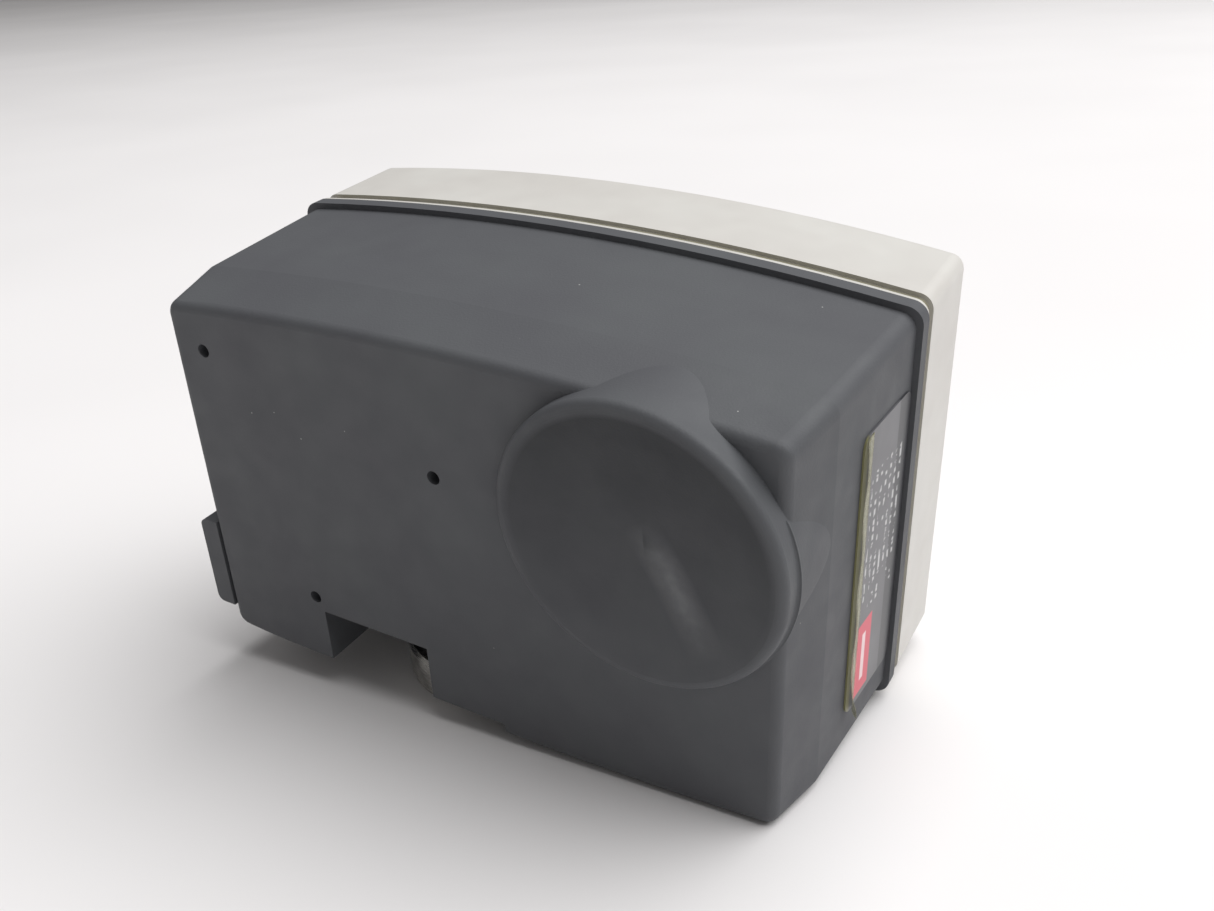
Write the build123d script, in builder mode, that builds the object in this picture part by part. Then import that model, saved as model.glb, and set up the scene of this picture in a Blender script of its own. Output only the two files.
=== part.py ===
from build123d import *
import math
import os

os.makedirs("parts", exist_ok=True)

# Motorised actuator head for a linear valve.
# The valve axis is Z and the mounting nut's bottom face is Z = 0.
# The front cover faces -Y and the motor boss stands on the rear face, towards +Y.
# All sizes are in millimetres.

# ---------------------------------------------------------------- driving sizes
# Casing: the flange is the widest outline, where cover and housing meet.
casing_width = 165.0
casing_height = 100.4
casing_bottom = 4.1
crown_rise = 5.1
casing_offset = -14.0
rear_y = 28.0
housing_depth = 59.1
cover_depth = 29.1
crease_depth = 16.5
wall = 2.8

flange_proud = 1.4
flange_depth = 3.8
side_slope = 1.6
top_slope = 1.3
bottom_slope = 0.2
side_chamfer = 2.9
top_chamfer = 2.7
bottom_chamfer = 1.8
rear_crown_rise = 3.5
crease_crown_rise = 4.0
flange_corner = 4.0
rear_corner = 3.5
rear_edge_round = 2.4

gasket_inset = 1.7
gasket_width = 1.5
gasket_depth = 1.5

cover_inset = 0.5
cover_rise = 0.4
cover_draft = 0.5
cover_front_crown = 5.7
lip_depth = 1.2
groove_depth = 3.0
groove_inset = 0.9
cover_edge_round = 2.0
cover_wall = 2.6

# Motor boss: a round drum with a dished face.
motor_x = -60.7
motor_z = 71.0
boss_radius = 32.7
boss_proud = 4.4
boss_rim = 2.2
boss_tilt = 0.05
boss_tilt_turn = math.radians(135)
dish_depth = 4.5
boss_wall = 2.4
boss_edge_round = 1.7

# Leg, side block and flat underside.
foot_x = -22.4
leg_edge_x = 30.0
block_left = 68.3
block_bottom = 13.1
block_top = 38.8

# Neck pocket and the notch that a spanner reaches the nut through.
pocket_right = -25.0
pocket_front = -24.0
pocket_ceiling = 22.3
notch_right = -1.5
notch_round = 2.5

# Pillars with pilot holes that run out through the rear face.
pilot_radius = 1.65
pillar_radius = 4.5
screw_depth = 10.0
screw_head = 2.8
screw_head_height = 1.8
thin_head = 1.2
board_pillars = [(53.1, 88.8), (32.1, 26.1)]
open_plate_pillar = (-10.1, 71.9)
blind_plate_pillars = [(-84.0, 36.0), (-22.0, 94.0), (16.0, 36.0)]

# Neck and mounting nut.
nut_radius = 22.0
nut_height = 10.5
nut_step_radius = 18.0
nut_total_height = 13.5
thread_radius = 17.0
thread_length = 7.0
collar_radius = 15.3
collar_height = 2.4
neck_radius = 13.0
neck_bore = 9.0
neck_flange = 40.0
neck_flange_thickness = 2.5
neck_screw_spacing = 32.0
neck_screw_radius = 1.5
slack = 0.3

# Spindle drive.
spindle_radius = 4.0
spindle_top = 97.0
stroke = 10.0
running = 0.05
rack_module = 1.0
rack_teeth = 16
rack_bars = 11
rack_width = 7.0
rack_backlash = 0.1
coupling_radius = 7.5
coupling_bottom = 8.0
coupling_top = 19.5
stem_radius = 3.0
stem_depth = 7.0
bush_flange_radius = 10.5
bush_flange = 1.4
bush_bottom = 20.2
guide_bottom = 87.0
guide_height = 5.0

# Gear train, from the motor to the spindle.
pressure_angle = math.radians(25)
first_module = 0.6
second_module = 0.8
third_module = 1.0
pinion_teeth = 12
first_teeth = 50
second_teeth = 48
output_teeth = 52
gear_width = 4.0
gear_gap = 1.0
output_x = -(spindle_radius + rack_module * rack_teeth / 2)
output_z = 56.5
first_angle = math.radians(-55)
output_shaft_radius = 3.0
arbor_radius = 1.5
small_backlash = 0.06
wide_backlash = 0.09

# Plates.
plate_thickness = 2.0
plate_face_y = -5.0
plate_left = -88.0
plate_right = 26.0
plate_bottom = 30.5
plate_top = 98.5
gear_plate_left = -81.0
gear_plate_right = 1.0
gear_plate_bottom = 29.5
gear_plate_top = 93.0
post_radius = 3.0
post_places = [(-76.0, 34.5), (-76.0, 88.0), (-4.0, 88.0), (-42.0, 34.5)]
bracket_y = 6.0
bracket_post_radius = 2.5
bracket_left = -26.0
bracket_right = 10.5
bracket_bottom = 39.0
bracket_top = 67.0

# Motor.
can_clearance = 1.3
can_length = 24.0
can_wall = 0.8
end_plate_thickness = 1.5
coil_inner = 13.5
coil_length = 18.0
rotor_radius = 11.5
rotor_length = 13.0
motor_bush_radius = 4.0
motor_bush_length = 4.0

# Electrical parts.
board_y = -28.0
board_thickness = 1.6
board_left = 26.0
board_right = 63.0
board_bottom = 20.0
board_top = 98.0
terminal_pitch = 5.0
terminal_count = 5
terminal_depth = 14.0
terminal_left = 37.0
terminal_z = 33.0
light_x = 40.0
light_z = 90.0
light_radius = 2.0

switch_x = 16.0
switch_length = 16.0
switch_height = 9.0
switch_depth = 6.0
switch_gap = 0.3
switch_travel = 0.8
plunger_x = 11.0
plunger_radius = 1.0
finger_bottom = 80.0
finger_height = 4.0

# Hand controls and fastenings of the cover.
knob_radius = 7.0
hex_across = 5.0
button_radius = 5.0
button_travel = 3.0
cover_screw_inset = (8.2, 6.6)
cover_screw_lower_inset = (7.0, 7.9)
column_radius = 5.6
screw_head_radius = 3.6
cover_screw_radius = 1.9

# Cable entry.
grommet_x = 48.0
grommet_spacing = 24.0
entry_radius = 8.0
cable_radius = 4.0

# Rating label on the side wall.
label_length = 71.0
label_width = 25.3
label_bottom = 16.3
label_thickness = 0.4
label_corner = 3.0

# ---------------------------------------------------------------- derived places
half_width = casing_width / 2
flange_y = rear_y - housing_depth
cover_front_y = flange_y - cover_depth
crease_y = rear_y - crease_depth
casing_top = casing_bottom + casing_height
cover_screw_places = [
    (casing_offset - half_width + cover_screw_inset[0], casing_top - cover_screw_inset[1]),
    (casing_offset + half_width - cover_screw_lower_inset[0], casing_bottom + cover_screw_lower_inset[1]),
]
can_radius = boss_radius - boss_wall - can_clearance
coil_outer = can_radius - 1.5
motor_screw_circle = can_radius - 7.0
bracket_post_x = spindle_radius + bracket_post_radius + 0.5
bracket_places = [(-22.5, 42.5), (-22.5, 64.0), (bracket_post_x, 44.0)]
wall_half = half_width - flange_proud
wall_top = casing_top - flange_proud
wall_bottom = casing_bottom + flange_proud
crease_half = wall_half - side_slope
crease_top = wall_top - top_slope
crease_bottom = wall_bottom + bottom_slope
rear_half = crease_half - side_chamfer
rear_top = crease_top - top_chamfer
rear_bottom = crease_bottom + bottom_chamfer
inner_rear_y = rear_y - wall
flange_seat_z = pocket_ceiling + wall
inner_bottom = rear_bottom + wall
flange_rear_y = flange_y + flange_depth
cover_inner_y = cover_front_y + cover_wall
gear_plate_y = plate_face_y - plate_thickness - 1.5 - 3 * gear_width - 2 * gear_gap - 2.0
layer_y = [plate_face_y - plate_thickness - 1.5 - i * (gear_width + gear_gap) for i in range(3)]
rear_shaft_end = plate_face_y - 0.2
front_shaft_end = gear_plate_y - plate_thickness - 0.5


def pitch_radius(module, teeth):
    """Radius of a gear's pitch circle."""
    return module * teeth / 2


def polar(centre, distance, angle):
    """Point at a distance and angle from a centre, in the X-Z plane."""
    return (centre[0] + distance * math.cos(angle), centre[1] + distance * math.sin(angle))


motor_at = (motor_x, motor_z)
output_at = (output_x, output_z)
first_distance = pitch_radius(first_module, pinion_teeth + first_teeth)
second_distance = pitch_radius(second_module, pinion_teeth + second_teeth)
output_distance = pitch_radius(third_module, pinion_teeth + output_teeth)
first_at = polar(motor_at, first_distance, first_angle)

# The second gear stands where its two centre distances meet, above the line between them.
span = math.dist(output_at, first_at)
toward_first = math.atan2(first_at[1] - output_at[1], first_at[0] - output_at[0])
second_turn = math.acos((output_distance**2 + span**2 - second_distance**2) / (2 * output_distance * span))
second_at = polar(output_at, output_distance, toward_first - second_turn)


def angle_between(a, b):
    """Direction from point a to point b, in the X-Z plane."""
    return math.atan2(b[1] - a[1], b[0] - a[0])


def meshing_turn(teeth, turn, mate_teeth, direction):
    """Turn of a gear that puts its tooth in the gap of a mate that stands in a direction."""
    phase = teeth * (direction - turn)
    return direction + math.pi - (math.pi - phase) / mate_teeth


# Turn of each toothed wheel at rest. The rack pinion has a tooth pointing straight at the rack.
rack_pinion_turn = 0.0
output_turn = 0.0
second_pinion_turn = meshing_turn(
    output_teeth, output_turn, pinion_teeth, angle_between(output_at, second_at)
)
second_turn_rest = 0.0
first_pinion_turn = meshing_turn(
    second_teeth, second_turn_rest, pinion_teeth, angle_between(second_at, first_at)
)
first_turn_rest = 0.0
motor_pinion_turn = meshing_turn(
    first_teeth, first_turn_rest, pinion_teeth, angle_between(first_at, motor_at)
)


# ---------------------------------------------------------------- shared shapes
def at_depth(y):
    """Plane across the casing at a depth, drawn in X and Z, whose normal faces the front."""
    return Plane.XZ.offset(-y)


def casing_outline(y, half, bottom, top, crown, keel, corner):
    """Sketch of the casing: straight sides, arched top and an arched or flat underside."""
    left = casing_offset - half
    right = casing_offset + half
    with BuildSketch(at_depth(y)) as outline:
        with BuildLine():
            if keel > 0:
                ThreePointArc((left, bottom), (casing_offset, bottom - keel), (right, bottom))
            else:
                Line((left, bottom), (right, bottom))
            Line((right, bottom), (right, top))
            ThreePointArc((right, top), (casing_offset, top + crown), (left, top))
            Line((left, top), (left, bottom))
        make_face()
        if corner > 0:
            fillet(outline.vertices(), corner)
    return outline


def block(x_range, y_range, z_range, mode=Mode.ADD):
    """Box between two limits on each axis."""
    with BuildSketch(Plane.XY.offset(z_range[0])) as foot:
        with Locations((sum(x_range) / 2, sum(y_range) / 2)):
            Rectangle(x_range[1] - x_range[0], y_range[1] - y_range[0])
    extrude(foot.sketch, amount=z_range[1] - z_range[0], mode=mode)


def rod(places, radius, y_from, y_to, mode=Mode.ADD):
    """Round rods along Y at places in the X-Z plane, from one depth to a nearer one."""
    with BuildSketch(at_depth(y_from)) as section:
        with Locations(*places):
            Circle(radius)
    extrude(section.sketch, amount=y_from - y_to, mode=mode)


def upright(places, radius, z_from, z_to, mode=Mode.ADD):
    """Round rods along Z at places in the X-Y plane."""
    with BuildSketch(Plane.XY.offset(z_from)) as section:
        with Locations(*places):
            Circle(radius)
    extrude(section.sketch, amount=z_to - z_from, mode=mode)


def involute(angle):
    """Involute function of an angle."""
    return math.tan(angle) - angle


def tooth_points(module, teeth, turn, backlash):
    """Corner points of a spur gear about its own centre, with straight steps along each flank."""
    pitch = pitch_radius(module, teeth)
    base = pitch * math.cos(pressure_angle)
    root = pitch - 1.25 * module
    tip = pitch + module
    half_tooth = math.pi / (2 * teeth) - backlash / (2 * pitch)
    steps = (root, base, (base + pitch) / 2, pitch, (pitch + tip) / 2, tip)
    radii = [r for r in steps if r >= max(root, base)]
    if base > root:
        radii = [root] + radii
    flank = []
    for r in radii:
        slant = math.acos(base / r) if r > base else 0.0
        flank.append((r, half_tooth + involute(pressure_angle) - involute(slant)))
    points = []
    for i in range(teeth):
        centre = turn + 2 * math.pi * i / teeth
        for r, spread in flank:
            points.append((r * math.cos(centre - spread), r * math.sin(centre - spread)))
        for r, spread in reversed(flank):
            points.append((r * math.cos(centre + spread), r * math.sin(centre + spread)))
    return points


def toothed_wheel(centre, module, teeth, turn, y_from, width, backlash):
    """Spur gear at a place, from one depth towards the front."""
    points = tooth_points(module, teeth, turn, backlash)
    with BuildSketch(at_depth(y_from)) as section:
        with BuildLine():
            Polyline(*[(centre[0] + x, centre[1] + z) for x, z in points], close=True)
        make_face()
    extrude(section.sketch, amount=width)


def finish(builder, label):
    """Label a finished piece and write its file."""
    builder.part.label = label
    export_step(builder.part, "parts/" + label + ".step")


# ---------------------------------------------------------------- rear housing
with BuildPart() as rear_housing:
    rear_outline = casing_outline(
        rear_y, rear_half, rear_bottom, rear_top, rear_crown_rise, rear_crown_rise, rear_corner
    )
    crease_outline = casing_outline(
        crease_y,
        crease_half,
        crease_bottom,
        crease_top,
        crease_crown_rise,
        crease_crown_rise,
        rear_corner + 0.3,
    )
    wall_outline = casing_outline(
        flange_rear_y, wall_half, wall_bottom, wall_top, crown_rise, crown_rise, flange_corner - 0.2
    )
    loft([rear_outline.sketch, crease_outline.sketch], ruled=True)
    fillet(rear_housing.faces().sort_by(Axis.Y)[-1].edges(), rear_edge_round)
    loft([crease_outline.sketch, wall_outline.sketch], ruled=True)
    # Flat underside beside the foot, and the straight side block over the cable entry.
    block((foot_x, block_left + wall), (flange_rear_y, rear_y + wall), (-wall, rear_bottom), Mode.SUBTRACT)
    fillet(
        rear_housing.edges()
        .filter_by(Axis.Y)
        .filter_by(lambda e: abs(e.center().X - foot_x) < 0.1 and abs(e.center().Z - rear_bottom) < 0.1),
        1.0,
    )
    block((block_left - 2 * wall, block_left), (flange_rear_y, rear_y), (block_bottom, block_top))
    fillet(
        rear_housing.edges().filter_by(Axis.Y).filter_by(lambda e: abs(e.center().X - block_left) < 0.01),
        2.0,
    )
    # Motor boss: a drum whose end face leans a little, cut by a plane through its centre.
    boss_top = rear_y + boss_proud
    boss_face = Plane(
        origin=(motor_x, boss_top, motor_z),
        z_dir=(-boss_tilt * math.cos(boss_tilt_turn), 1, -boss_tilt * math.sin(boss_tilt_turn)),
    )
    rod([motor_at], boss_radius, boss_top + 4, crease_y)
    with BuildSketch(boss_face) as face_cut:
        Circle(boss_radius * 1.3)
    extrude(face_cut.sketch, amount=12, mode=Mode.SUBTRACT)
    fillet(
        rear_housing.faces().sort_by(Axis.Y)[-1].edges(),
        boss_edge_round,
    )
    # Proud flange round the mouth.
    mouth_outline = casing_outline(
        flange_rear_y, half_width, casing_bottom, casing_top, crown_rise, crown_rise, flange_corner
    )
    extrude(mouth_outline.sketch, amount=flange_depth)
    # Hollow of the casing.
    rear_hollow = casing_outline(
        inner_rear_y, rear_half - wall, inner_bottom, rear_top - wall, rear_crown_rise, 0, 2.0
    )
    crease_hollow = casing_outline(
        crease_y, crease_half - wall, inner_bottom, crease_top - wall, crease_crown_rise, 0, 2.0
    )
    mouth_hollow = casing_outline(
        flange_y, wall_half - wall, inner_bottom, wall_top - wall, crown_rise, 0, 2.5
    )
    loft([rear_hollow.sketch, crease_hollow.sketch], ruled=True, mode=Mode.SUBTRACT)
    loft([crease_hollow.sketch, mouth_hollow.sketch], ruled=True, mode=Mode.SUBTRACT)
    block(
        (block_left - 4 * wall, block_left - wall),
        (flange_rear_y + wall, inner_rear_y),
        (block_bottom + wall, block_top - wall),
        Mode.SUBTRACT,
    )
    # Drum space for the motor, and the dish in the boss's face.
    rod([motor_at], boss_radius - boss_wall, rear_y - dish_depth - 1.2, crease_y - 6, Mode.SUBTRACT)
    dish_radius = boss_radius - boss_rim
    dish_sphere = (dish_radius**2 + dish_depth**2) / (2 * dish_depth)
    with Locations(boss_face.location * Pos(0, 0, dish_sphere - dish_depth)):
        Sphere(dish_sphere, mode=Mode.SUBTRACT)
    # Neck pocket: walls first, then the hollow and the notch through the rear wall.
    block(
        (pocket_right - wall, leg_edge_x + wall),
        (pocket_front - wall, inner_rear_y),
        (rear_bottom, pocket_ceiling + wall),
    )
    neck_corner = neck_screw_spacing / 2
    neck_corners = [(x, y) for x in (-neck_corner, neck_corner) for y in (-neck_corner, neck_corner)]
    block((pocket_right, leg_edge_x), (pocket_front, inner_rear_y), (-wall, pocket_ceiling), Mode.SUBTRACT)
    upright(neck_corners, 3.5, pocket_ceiling - 4.5, pocket_ceiling)
    upright([(0, 0)], neck_radius + slack, 0, pocket_ceiling + 2 * wall, Mode.SUBTRACT)
    with BuildSketch(at_depth(rear_y + 1)) as notch:
        with Locations(((notch_right + leg_edge_x) / 2, pocket_ceiling / 2)):
            Rectangle(leg_edge_x - notch_right, pocket_ceiling)
        fillet(notch.vertices().group_by(Axis.Z)[-1].sort_by(Axis.X)[0], notch_round)
    extrude(notch.sketch, amount=wall + 1.5, mode=Mode.SUBTRACT)
    # Pillars and their pilot holes.
    rod(board_pillars, pillar_radius, inner_rear_y, board_y)
    rod([open_plate_pillar] + blind_plate_pillars, pillar_radius, inner_rear_y, plate_face_y)
    block((pocket_right, leg_edge_x), (pocket_front, inner_rear_y), (0, pocket_ceiling - 5), Mode.SUBTRACT)
    rod(board_pillars, pilot_radius, rear_y, board_y, Mode.SUBTRACT)
    rod([open_plate_pillar], pilot_radius, rear_y, plate_face_y, Mode.SUBTRACT)
    rod(blind_plate_pillars, pilot_radius, plate_face_y + screw_depth + 2, plate_face_y, Mode.SUBTRACT)
    rod(cover_screw_places, cover_screw_radius + 2.1, flange_y + screw_depth + 2, flange_y)
    rod(cover_screw_places, cover_screw_radius, flange_y + screw_depth, flange_y, Mode.SUBTRACT)
    upright(neck_corners, neck_screw_radius, pocket_ceiling - 3.5, pocket_ceiling + wall, Mode.SUBTRACT)
    # The rack runs past the open pillar.
    rack_room = spindle_radius + rack_module + 0.5
    block((-rack_room, 0), (plate_face_y, rack_room), (flange_seat_z, spindle_top), Mode.SUBTRACT)
    # Groove of the gasket in the flange's front face.
    groove_outer = casing_outline(
        flange_y + gasket_depth,
        half_width - gasket_inset,
        casing_bottom + gasket_inset,
        casing_top - gasket_inset,
        crown_rise,
        crown_rise,
        flange_corner - gasket_inset,
    )
    with BuildSketch(at_depth(flange_y + gasket_depth)) as gasket_ring:
        add(groove_outer.sketch)
        offset(groove_outer.sketch, amount=-gasket_width, kind=Kind.INTERSECTION, mode=Mode.SUBTRACT)
    extrude(gasket_ring.sketch, amount=gasket_depth, mode=Mode.SUBTRACT)
    # Cable entries in the floor of the leg.
    grommet_places = [(grommet_x, grommet_spacing / 2), (grommet_x, -grommet_spacing / 2)]
    upright(grommet_places, entry_radius, rear_bottom - 1, inner_bottom + 1, Mode.SUBTRACT)
finish(rear_housing, "rear_housing")

# ---------------------------------------------------------------- front cover
cover_half = half_width - cover_inset
cover_bottom = casing_bottom + cover_inset
cover_top = casing_top - cover_inset + cover_rise
with BuildPart() as front_cover:
    lip_y = flange_y - lip_depth
    groove_y = lip_y - groove_depth
    lip_outline = casing_outline(
        flange_y, cover_half, cover_bottom, cover_top, crown_rise, crown_rise, flange_corner - cover_inset
    )
    extrude(lip_outline.sketch, amount=lip_depth)
    groove_outline = casing_outline(
        lip_y,
        cover_half - groove_inset,
        cover_bottom + groove_inset,
        cover_top - groove_inset,
        crown_rise,
        crown_rise,
        flange_corner - cover_inset - groove_inset,
    )
    extrude(groove_outline.sketch, amount=groove_depth)
    wide_outline = casing_outline(
        groove_y, cover_half, cover_bottom, cover_top, crown_rise, crown_rise, flange_corner - cover_inset
    )
    front_outline = casing_outline(
        cover_front_y,
        cover_half - cover_draft,
        cover_bottom - cover_draft,
        cover_top + cover_draft,
        cover_front_crown,
        crown_rise,
        flange_corner - cover_inset,
    )
    loft([wide_outline.sketch, front_outline.sketch], ruled=True)
    rod(cover_screw_places, column_radius, groove_y, cover_front_y)
    fillet(front_cover.faces().sort_by(Axis.Y)[0].edges(), cover_edge_round)
    hollow_outline = casing_outline(
        flange_y,
        cover_half - groove_inset - cover_wall,
        cover_bottom + groove_inset + cover_wall,
        cover_top - groove_inset - cover_wall,
        crown_rise,
        crown_rise,
        2.5,
    )
    extrude(hollow_outline.sketch, amount=flange_y - cover_inner_y, mode=Mode.SUBTRACT)
    rod(cover_screw_places, column_radius - 0.8, flange_y, cover_inner_y)
    rod(cover_screw_places, cover_screw_radius + 0.2, flange_y, cover_front_y, Mode.SUBTRACT)
    rod(cover_screw_places, screw_head_radius + slack, cover_front_y + 6, cover_front_y, Mode.SUBTRACT)
    # Openings for the hand knob, the release button and the status light.
    rod([second_at], knob_radius + slack, cover_inner_y, cover_front_y, Mode.SUBTRACT)
    rod([motor_at], button_radius + slack, cover_inner_y, cover_front_y, Mode.SUBTRACT)
    rod([(light_x, light_z)], light_radius, cover_inner_y, cover_front_y, Mode.SUBTRACT)
finish(front_cover, "front_cover")

with BuildPart() as cover_gasket:
    extrude(gasket_ring.sketch, amount=gasket_depth)
finish(cover_gasket, "cover_gasket")

with BuildPart() as cover_screws:
    head_y = cover_front_y + 6
    rod(cover_screw_places, screw_head_radius, head_y, head_y - 3.5)
    rod(cover_screw_places, cover_screw_radius, flange_y + screw_depth, head_y)
    slot_y = (head_y - 3.5, head_y - 2.1)
    for x, z in cover_screw_places:
        block((x - screw_head_radius, x + screw_head_radius), slot_y, (z - 0.5, z + 0.5), Mode.SUBTRACT)
        block((x - 0.5, x + 0.5), slot_y, (z - 2.2, z + 2.2), Mode.SUBTRACT)
finish(cover_screws, "cover_screws")

# ---------------------------------------------------------------- rating label
side_lean = math.atan2(side_slope, crease_y - flange_rear_y)
label_front_y = flange_rear_y + 0.4
label_centre_y = label_front_y + label_width / 2
label_wall_x = casing_offset - wall_half + (label_centre_y - flange_rear_y) * math.tan(side_lean)
label_plane = Plane(
    origin=(label_wall_x, label_centre_y, label_bottom + label_length / 2),
    x_dir=(math.sin(side_lean), math.cos(side_lean), 0),
    z_dir=(-math.cos(side_lean), math.sin(side_lean), 0),
)
with BuildPart() as rating_label:
    with BuildSketch(label_plane.offset(0.02)) as label_face:
        RectangleRounded(label_width, label_length, label_corner)
    extrude(label_face.sketch, amount=label_thickness)
finish(rating_label, "rating_label")

# ---------------------------------------------------------------- neck and nut
collar_bottom = thread_length + slack
collar_top = collar_bottom + collar_height
flange_seat = flange_seat_z
with BuildPart() as mounting_neck:
    with BuildSketch(Plane.XY.offset(flange_seat)):
        RectangleRounded(neck_flange, neck_flange, 4)
    extrude(amount=neck_flange_thickness)
    upright([(0, 0)], neck_radius, collar_bottom, flange_seat)
    upright([(0, 0)], collar_radius, collar_bottom, collar_top)
    upright([(0, 0)], neck_bore, collar_bottom, flange_seat + neck_flange_thickness, Mode.SUBTRACT)
    upright(
        neck_corners, neck_screw_radius + 0.1, flange_seat, flange_seat + neck_flange_thickness, Mode.SUBTRACT
    )
    lowest_circles = mounting_neck.edges().filter_by(GeomType.CIRCLE).group_by(Axis.Z)[0]
    chamfer(lowest_circles.sort_by(SortBy.RADIUS)[-1], 0.5)
finish(mounting_neck, "mounting_neck")

with BuildPart() as neck_screws:
    head_seat = flange_seat + neck_flange_thickness
    upright(neck_corners, screw_head, head_seat, head_seat + screw_head_height)
    upright(neck_corners, neck_screw_radius, pocket_ceiling - 3.5, head_seat)
finish(neck_screws, "neck_screws")

with BuildPart() as mounting_nut:
    upright([(0, 0)], nut_radius, 0, nut_height)
    chamfer(mounting_nut.edges().filter_by(GeomType.CIRCLE), 0.9)
    upright([(0, 0)], nut_step_radius, nut_height, nut_total_height)
    upright([(0, 0)], thread_radius, 0, thread_length, Mode.SUBTRACT)
    upright([(0, 0)], collar_radius + slack, thread_length, collar_top + slack, Mode.SUBTRACT)
    upright([(0, 0)], neck_radius + slack, 0, nut_total_height, Mode.SUBTRACT)
finish(mounting_nut, "mounting_nut")

# ---------------------------------------------------------------- spindle
bush_seat = flange_seat + neck_flange_thickness
with BuildPart() as spindle_bush:
    upright([(0, 0)], neck_bore, bush_bottom, bush_seat)
    upright([(0, 0)], bush_flange_radius, bush_seat, bush_seat + bush_flange)
    upright([(0, 0)], spindle_radius + running, bush_bottom, bush_seat + bush_flange, Mode.SUBTRACT)
finish(spindle_bush, "spindle_bush")

rack_pitch_x = -spindle_radius
bar_pitch = math.pi * rack_module
bar_first = output_z - 3.5 * bar_pitch
with BuildPart() as drive_spindle:
    upright([(0, 0)], spindle_radius, coupling_top - 5, spindle_top)
    rack_root_x = rack_pitch_x + 1.25 * rack_module
    rack_low = bar_first - bar_pitch / 2
    rack_high = bar_first + (rack_bars - 0.5) * bar_pitch
    block(
        (-spindle_radius - 1, rack_root_x),
        (-spindle_radius, spindle_radius),
        (rack_low, rack_high),
        Mode.SUBTRACT,
    )
    half_tooth = bar_pitch / 4 - rack_backlash
    tan_pressure = math.tan(pressure_angle)
    half_root = half_tooth + 1.25 * rack_module * tan_pressure
    half_tip = half_tooth - rack_module * tan_pressure
    with BuildSketch(at_depth(spindle_radius * 0.7)) as bars:
        for i in range(rack_bars):
            height = bar_first + i * bar_pitch
            with BuildLine():
                Polyline(
                    (rack_root_x + 0.5, height - half_root),
                    (rack_root_x, height - half_root),
                    (rack_pitch_x - rack_module, height - half_tip),
                    (rack_pitch_x - rack_module, height + half_tip),
                    (rack_root_x, height + half_root),
                    (rack_root_x + 0.5, height + half_root),
                    close=True,
                )
            make_face()
    extrude(bars.sketch, amount=spindle_radius * 1.4)
    chamfer(drive_spindle.edges().filter_by(GeomType.CIRCLE).group_by(Axis.Z)[-1], 0.6)
finish(drive_spindle, "drive_spindle")

with BuildPart() as stem_coupling:
    upright([(0, 0)], coupling_radius, coupling_bottom, coupling_top)
    chamfer(stem_coupling.edges().filter_by(GeomType.CIRCLE), 0.6)
    upright([(0, 0)], stem_radius, coupling_bottom, coupling_bottom + stem_depth - 1, Mode.SUBTRACT)
    upright([(0, 0)], spindle_radius, coupling_top - 5, coupling_top, Mode.SUBTRACT)
finish(stem_coupling, "stem_coupling")

with BuildPart() as trip_finger:
    block(
        (-spindle_radius - 1.2, plunger_x + 2.5),
        (plate_face_y + 0.5, spindle_radius + 2.5),
        (finger_bottom, finger_bottom + finger_height),
    )
    block(
        (spindle_radius + 2.5, plunger_x + 3),
        (0.5, spindle_radius + 3),
        (finger_bottom, finger_bottom + finger_height),
        Mode.SUBTRACT,
    )
    upright([(0, 0)], spindle_radius, finger_bottom, finger_bottom + finger_height, Mode.SUBTRACT)
finish(trip_finger, "trip_finger")

with BuildPart() as spindle_guide:
    guide_top = guide_bottom + guide_height
    block(
        (-spindle_radius - 5, spindle_radius + 1.6),
        (plate_face_y, spindle_radius + 2),
        (guide_bottom, guide_top),
    )
    upright([(0, 0)], spindle_radius + running, guide_bottom, guide_top, Mode.SUBTRACT)
finish(spindle_guide, "spindle_guide")

# ---------------------------------------------------------------- plates and posts
motor_screw_places = [polar(motor_at, motor_screw_circle, math.radians(a)) for a in (80, 200, 320)]
plate_screw_places = [open_plate_pillar] + blind_plate_pillars
gear_posts_y = plate_face_y - plate_thickness
with BuildPart() as base_plate:
    with BuildSketch(at_depth(plate_face_y)) as plate_shape:
        with Locations(((plate_left + plate_right) / 2, (plate_bottom + plate_top) / 2)):
            RectangleRounded(plate_right - plate_left, plate_top - plate_bottom, 4)
        with Locations(*plate_screw_places, *post_places, *bracket_places):
            Circle(neck_screw_radius, mode=Mode.SUBTRACT)
        with Locations(*motor_screw_places):
            Circle(neck_screw_radius, mode=Mode.SUBTRACT)
        with Locations(motor_at):
            Circle(motor_bush_radius + 0.5, mode=Mode.SUBTRACT)
        with Locations(first_at, second_at):
            Circle(arbor_radius + running, mode=Mode.SUBTRACT)
        with Locations(output_at):
            Circle(output_shaft_radius + running, mode=Mode.SUBTRACT)
    extrude(plate_shape.sketch, amount=plate_thickness)
finish(base_plate, "base_plate")

with BuildPart() as plate_screws:
    rod(plate_screw_places, screw_head, gear_posts_y, gear_posts_y - thin_head)
    rod(plate_screw_places, neck_screw_radius, plate_face_y + screw_depth, gear_posts_y)
finish(plate_screws, "plate_screws")

with BuildPart() as gear_plate:
    with BuildSketch(at_depth(gear_plate_y)) as gear_plate_shape:
        with Locations(
            ((gear_plate_left + gear_plate_right) / 2, (gear_plate_bottom + gear_plate_top) / 2)
        ):
            RectangleRounded(gear_plate_right - gear_plate_left, gear_plate_top - gear_plate_bottom, 4)
        with Locations(*post_places):
            Circle(neck_screw_radius, mode=Mode.SUBTRACT)
        with Locations(motor_at):
            Circle(button_radius, mode=Mode.SUBTRACT)
        with Locations(first_at, second_at):
            Circle(arbor_radius + running, mode=Mode.SUBTRACT)
        with Locations(output_at):
            Circle(output_shaft_radius + running, mode=Mode.SUBTRACT)
    extrude(gear_plate_shape.sketch, amount=plate_thickness)
finish(gear_plate, "front_gear_plate")

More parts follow.
